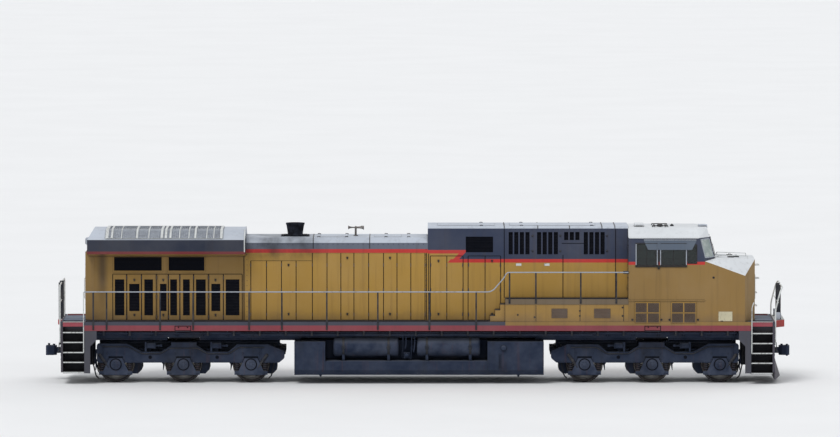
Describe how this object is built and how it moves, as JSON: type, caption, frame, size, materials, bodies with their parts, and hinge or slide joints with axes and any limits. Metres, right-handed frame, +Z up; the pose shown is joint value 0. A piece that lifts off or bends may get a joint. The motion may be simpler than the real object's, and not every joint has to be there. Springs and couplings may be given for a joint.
{
  "type": "diesel locomotive",
  "caption": "Heavy road diesel locomotive with a wide nose, hollow cab, overhanging rear radiator, swivelling six-wheel trucks, swinging couplers and hinged doors.",
  "frame": {"origin": "on the ground plane level with the lowest points of the wheel flanges, midway between the coupler faces and the sides", "axes": "+X towards the nose, +Y to the left side, +Z up"},
  "size_m": [22.3, 3.12, 4.728],
  "materials": {
    "body_yellow": "weathered gloss paint with blue-grey upper panels and red stripes",
    "roof_grey": "dusty matt paint",
    "frame_paint": "grimy paint",
    "truck_grime": "brake dust over dark paint",
    "cast_steel": "rusty casting",
    "wheel_steel": "rolled steel, bright tread",
    "rail_paint": "silver-grey paint",
    "rail_white": "white paint, dusty",
    "window_glass": "tinted safety glass",
    "cab_trim": "dark cab fittings",
    "engine_iron": "plain block",
    "sooty_steel": "sooty",
    "dark_fittings": "dark paint"
  },
  "bodies": {
    "root": {"underframe": "frame_paint", "fuel_tank": "truck_grime", "air_reservoirs": "truck_grime", "pilot_front": "frame_paint", "pilot_rear": "frame_paint", "corner_steps": "frame_paint", "cab_shell": "body_yellow", "cab_roof": "roof_grey", "cab_windows": "window_glass", "cab_interior": "cab_trim", "nose": "body_yellow", "lamps": "dark_fittings", "battery_boxes": "body_yellow", "inverter_cabinet": "body_yellow", "equipment_hood": "body_yellow", "engine_hood": "body_yellow", "engine_block": "engine_iron", "exhaust_stack": "sooty_steel", "horn": "dark_fittings", "radiator_hood": "body_yellow", "handrail_right": "rail_paint", "handrail_left": "rail_paint", "end_rails": "rail_white", "roof_fittings": "dark_fittings", "sunshades": "frame_paint", "hood_grilles": "dark_fittings", "radiator_screens": "roof_grey"},
    "cab_door": {"cab_door": "body_yellow"},
    "nose_door": {"nose_door": "body_yellow"},
    "coupler_front": {"coupler_front": "cast_steel"},
    "coupler_rear": {"coupler_rear": "cast_steel"},
    "truck_front": {"truck_front_frame": "truck_grime", "truck_front_boxes": "truck_grime", "truck_front_motors": "truck_grime", "truck_front_brakes": "truck_grime"},
    "truck_rear": {"truck_rear_frame": "truck_grime", "truck_rear_boxes": "truck_grime", "truck_rear_motors": "truck_grime", "truck_rear_brakes": "truck_grime"},
    "wheelset_1": {"wheelset_1": "wheel_steel"},
    "wheelset_2": {"wheelset_2": "wheel_steel"},
    "wheelset_3": {"wheelset_3": "wheel_steel"},
    "wheelset_4": {"wheelset_4": "wheel_steel"},
    "wheelset_5": {"wheelset_5": "wheel_steel"},
    "wheelset_6": {"wheelset_6": "wheel_steel"}
  },
  "joints": [
    {"name": "cab_door_hinge", "type": "hinge", "parent": "root", "child": "cab_door", "pos_m": [6.262, -0.994, 3.4], "axis": [0, 0, -1], "range_deg": [0, 85]},
    {"name": "nose_door_hinge", "type": "hinge", "parent": "root", "child": "nose_door", "pos_m": [9.994, 0.666, 2.7], "axis": [0, 0, -1], "range_deg": [0, 85]},
    {"name": "coupler_front_swing", "type": "hinge", "parent": "root", "child": "coupler_front", "pos_m": [10.2, 0, 0.903], "axis": [0, 0, 1], "range_deg": [-7, 7]},
    {"name": "truck_front_swivel", "type": "hinge", "parent": "root", "child": "truck_front", "pos_m": [7, 0, 1.218], "axis": [0, 0, 1], "range_deg": [-4.8, 4.8]},
    {"name": "coupler_rear_swing", "type": "hinge", "parent": "root", "child": "coupler_rear", "pos_m": [-10.2, 0, 0.903], "axis": [0, 0, 1], "range_deg": [-7, 7]},
    {"name": "truck_rear_swivel", "type": "hinge", "parent": "root", "child": "truck_rear", "pos_m": [-7, 0, 1.218], "axis": [0, 0, 1], "range_deg": [-4.8, 4.8]},
    {"name": "wheelset_1_spin", "type": "hinge", "parent": "truck_front", "child": "wheelset_1", "pos_m": [9.02, 0, 0.561], "axis": [0, 1, 0], "continuous": true},
    {"name": "wheelset_2_spin", "type": "hinge", "parent": "truck_front", "child": "wheelset_2", "pos_m": [7, 0, 0.561], "axis": [0, 1, 0], "continuous": true},
    {"name": "wheelset_3_spin", "type": "hinge", "parent": "truck_front", "child": "wheelset_3", "pos_m": [4.98, 0, 0.561], "axis": [0, 1, 0], "continuous": true},
    {"name": "wheelset_4_spin", "type": "hinge", "parent": "truck_rear", "child": "wheelset_4", "pos_m": [-4.98, 0, 0.561], "axis": [0, 1, 0], "continuous": true},
    {"name": "wheelset_5_spin", "type": "hinge", "parent": "truck_rear", "child": "wheelset_5", "pos_m": [-7, 0, 0.561], "axis": [0, 1, 0], "continuous": true},
    {"name": "wheelset_6_spin", "type": "hinge", "parent": "truck_rear", "child": "wheelset_6", "pos_m": [-9.02, 0, 0.561], "axis": [0, 1, 0], "continuous": true}
  ]
}
